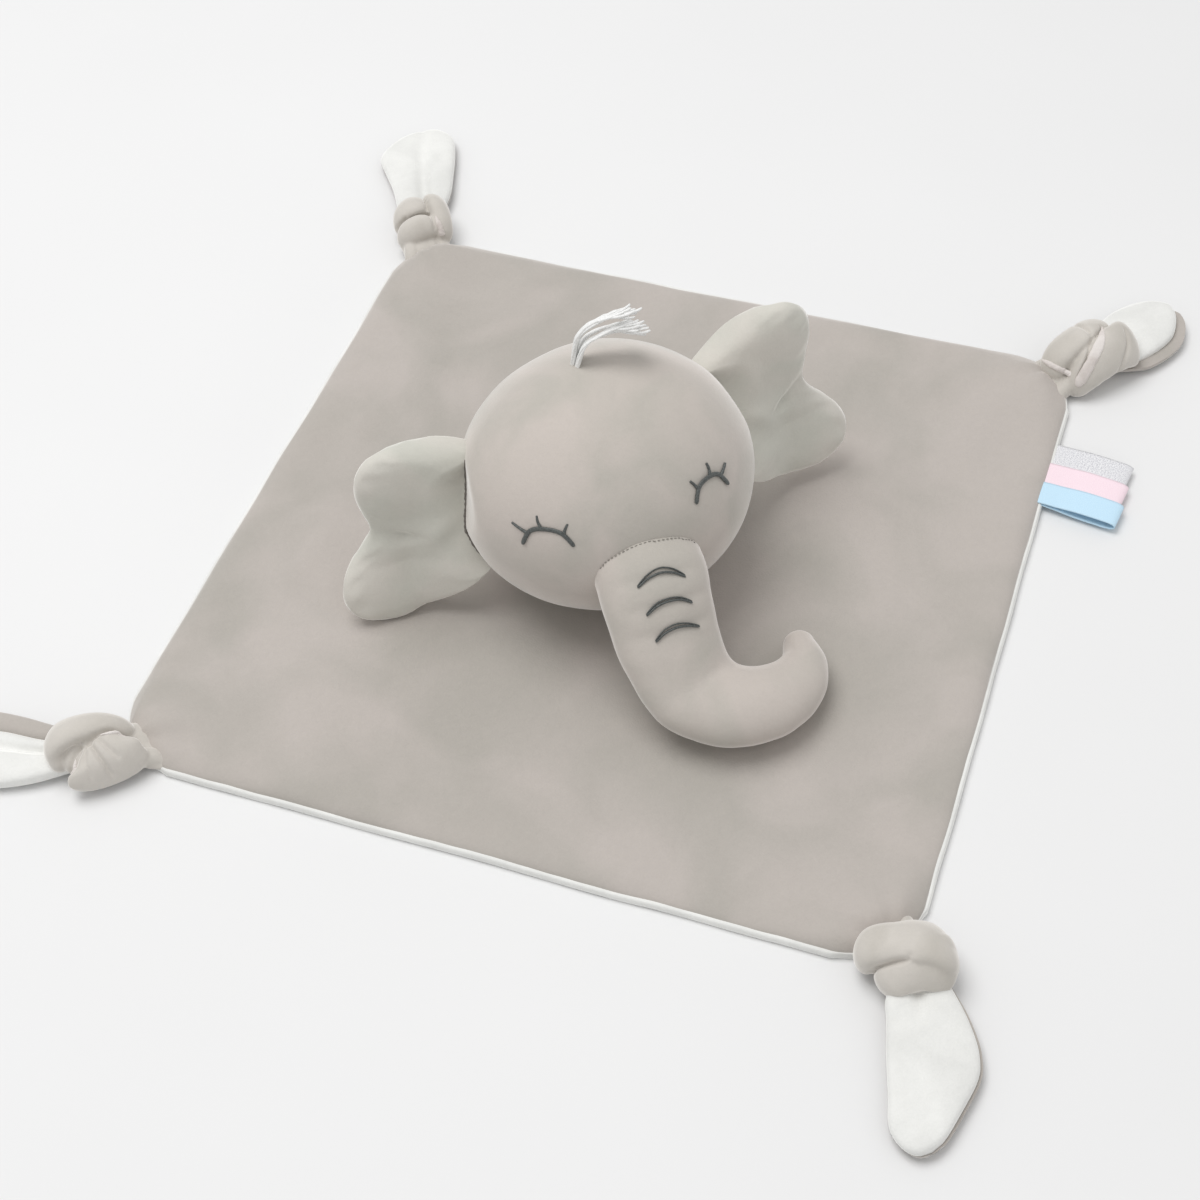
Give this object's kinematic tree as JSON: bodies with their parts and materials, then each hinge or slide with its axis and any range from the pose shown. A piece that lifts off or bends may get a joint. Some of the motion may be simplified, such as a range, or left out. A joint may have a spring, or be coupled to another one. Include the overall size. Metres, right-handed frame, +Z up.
{
  "type": "comfort blanket",
  "caption": "Square two-layer velour comfort blanket with knotted corners, ribbon loops in one seam and a stuffed elephant head with folding ears, a curled trunk and a yarn forelock.",
  "frame": {"origin": "centre of the blanket's flat underside", "axes": "+Z up out of the blanket, -Y the way the elephant looks, which is also the way to the front corner, +X to the right corner"},
  "size_m": [0.5032, 0.5133, 0.1121],
  "materials": {
    "blanket_velour": "short grey velour pile",
    "lining_plush": "white plush",
    "head_velour": "short light grey velour pile",
    "fibre_fill": "loose white polyester fibre",
    "dark_thread": "dark grey embroidery thread",
    "pale_thread": "grey sewing thread",
    "white_yarn": "soft white yarn",
    "silver_ribbon": "silver glitter ribbon",
    "pink_ribbon": "pale pink satin ribbon",
    "blue_ribbon": "light blue satin ribbon"
  },
  "bodies": {
    "blanket": {"top_panel": "blanket_velour", "lining_panel": "lining_plush"},
    "neck": {"neck_stitching": "pale_thread"},
    "head": {"head_cover": "head_velour", "head_stuffing": "fibre_fill", "left_eye_stitching": "dark_thread", "right_eye_stitching": "dark_thread"},
    "left_ear": {"left_ear_cover": "head_velour", "left_ear_wadding": "fibre_fill"},
    "right_ear": {"right_ear_cover": "head_velour", "right_ear_wadding": "fibre_fill"},
    "trunk": {"trunk_cover": "head_velour", "trunk_stuffing": "fibre_fill", "trunk_line_1": "dark_thread", "trunk_line_2": "dark_thread", "trunk_line_3": "dark_thread"},
    "forelock": {"forelock_strand_1": "white_yarn", "forelock_strand_2": "white_yarn", "forelock_strand_3": "white_yarn", "forelock_strand_4": "white_yarn", "forelock_strand_5": "white_yarn"},
    "front_knot": {"front_knot": "blanket_velour"},
    "front_tail": {"front_tail_face": "blanket_velour", "front_tail_lining": "lining_plush"},
    "right_knot": {"right_knot": "blanket_velour"},
    "right_tail": {"right_tail_face": "blanket_velour", "right_tail_lining": "lining_plush"},
    "back_knot": {"back_knot": "blanket_velour"},
    "back_tail": {"back_tail_face": "blanket_velour", "back_tail_lining": "lining_plush"},
    "left_knot": {"left_knot": "blanket_velour"},
    "left_tail": {"left_tail_face": "blanket_velour", "left_tail_lining": "lining_plush"},
    "ribbon_blue": {"ribbon_blue": "blue_ribbon"},
    "ribbon_pink": {"ribbon_pink": "pink_ribbon"},
    "ribbon_silver": {"ribbon_silver": "silver_ribbon"}
  },
  "joints": [
    {"name": "head_turn", "type": "hinge", "parent": "blanket", "child": "neck", "pos_m": [-0.00593, -0.00354, 0.0061], "axis": [0, 0, 1], "range_deg": [-20, 20]},
    {"name": "head_nod", "type": "hinge", "parent": "neck", "child": "head", "pos_m": [-0.00488, 0.01363, 0.0061], "axis": [-0.9981, 0.061, 0], "range_deg": [0, 25]},
    {"name": "left_ear_flap", "type": "hinge", "parent": "head", "child": "left_ear", "pos_m": [-0.05505, 0.00672, 0.04602], "axis": [0.1401, 0.4346, 0.8897], "range_deg": [0, 50]},
    {"name": "right_ear_flap", "type": "hinge", "parent": "head", "child": "right_ear", "pos_m": [0.04281, 0.00074, 0.04978], "axis": [0.154, -0.4525, -0.8784], "range_deg": [0, 50]},
    {"name": "trunk_lift", "type": "hinge", "parent": "head", "child": "trunk", "pos_m": [-0.01348, -0.04943, 0.06337], "axis": [-0.9981, 0.061, 0], "range_deg": [0, 40]},
    {"name": "forelock_flop", "type": "hinge", "parent": "head", "child": "forelock", "pos_m": [-0.01035, 0.01076, 0.09084], "axis": [-0.2706, -0.9627, 0], "range_deg": [0, 45]},
    {"name": "front_knot_lift", "type": "hinge", "parent": "blanket", "child": "front_knot", "pos_m": [0, -0.18729, 0.0028], "axis": [-1, 0, 0], "range_deg": [0, 50]},
    {"name": "front_tail_lift", "type": "hinge", "parent": "front_knot", "child": "front_tail", "pos_m": [-0.00443, -0.21511, 0.0052], "axis": [-0.9613, 0.2756, 0], "range_deg": [0, 70]},
    {"name": "right_knot_lift", "type": "hinge", "parent": "blanket", "child": "right_knot", "pos_m": [0.18729, 0, 0.0028], "axis": [0, -1, 0], "range_deg": [0, 50]},
    {"name": "right_tail_lift", "type": "hinge", "parent": "right_knot", "child": "right_tail", "pos_m": [0.21524, -0.00228, 0.0052], "axis": [0.1908, -0.9816, 0], "range_deg": [0, 70]},
    {"name": "back_knot_lift", "type": "hinge", "parent": "blanket", "child": "back_knot", "pos_m": [0, 0.18729, 0.0028], "axis": [1, 0, 0], "range_deg": [0, 50]},
    {"name": "back_tail_lift", "type": "hinge", "parent": "back_knot", "child": "back_tail", "pos_m": [0.00814, 0.21427, 0.0052], "axis": [0.9272, -0.3746, 0], "range_deg": [0, 70]},
    {"name": "left_knot_lift", "type": "hinge", "parent": "blanket", "child": "left_knot", "pos_m": [-0.18729, 0, 0.0028], "axis": [0, 1, 0], "range_deg": [0, 50]},
    {"name": "left_tail_lift", "type": "hinge", "parent": "left_knot", "child": "left_tail", "pos_m": [-0.21506, 0.00333, 0.0052], "axis": [0.4384, 0.8988, 0], "range_deg": [0, 70]},
    {"name": "ribbon_blue_flap", "type": "hinge", "parent": "blanket", "child": "ribbon_blue", "pos_m": [0.15047, -0.05091, 0.003], "axis": [-0.7071, -0.7071, 0], "range_deg": [0, 75]},
    {"name": "ribbon_pink_flap", "type": "hinge", "parent": "blanket", "child": "ribbon_pink", "pos_m": [0.15797, -0.04342, 0.003], "axis": [-0.7071, -0.7071, 0], "range_deg": [0, 75]},
    {"name": "ribbon_silver_flap", "type": "hinge", "parent": "blanket", "child": "ribbon_silver", "pos_m": [0.16546, -0.03592, 0.003], "axis": [-0.7071, -0.7071, 0], "range_deg": [0, 75]}
  ]
}
